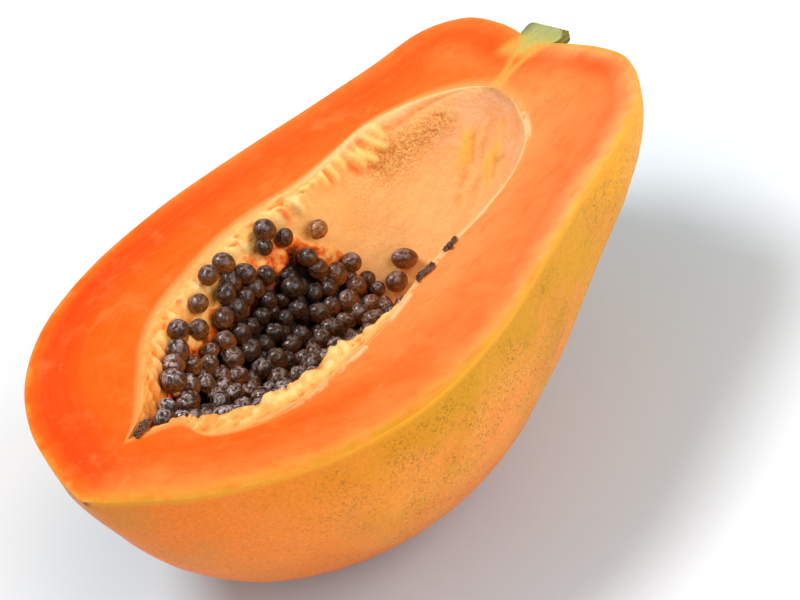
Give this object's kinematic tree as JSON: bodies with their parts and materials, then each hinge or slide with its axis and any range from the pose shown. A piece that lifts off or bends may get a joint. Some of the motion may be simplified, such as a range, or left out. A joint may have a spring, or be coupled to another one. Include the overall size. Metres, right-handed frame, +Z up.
{
  "type": "halved papaya",
  "caption": "Half of a ripe papaya, cut lengthways and lying on its skin, with orange flesh, dark seeds in the cavity and half of its stem.",
  "frame": {"origin": "middle of the footprint, on the surface that the fruit lies on", "axes": "+Z up, square to the cut face; +X from the blossom tip to the stem; +Y across the cut face"},
  "size_m": [0.2102, 0.1422, 0.0844],
  "materials": {
    "flesh": "moist orange flesh, yellow skin",
    "stem": "pale green cut stem",
    "seed": "wet, wrinkled, dark brown",
    "pale_seed": "wet, light brown"
  },
  "bodies": {
    "root": {"fruit_half": "flesh", "stem": "stem", "seeds": "seed", "loose_seed_large": "seed", "loose_seed_small": "seed", "pale_seed": "pale_seed", "tip_scrap": "seed", "rim_scrap_long": "seed", "rim_scrap_short": "seed"}
  },
  "joints": []
}
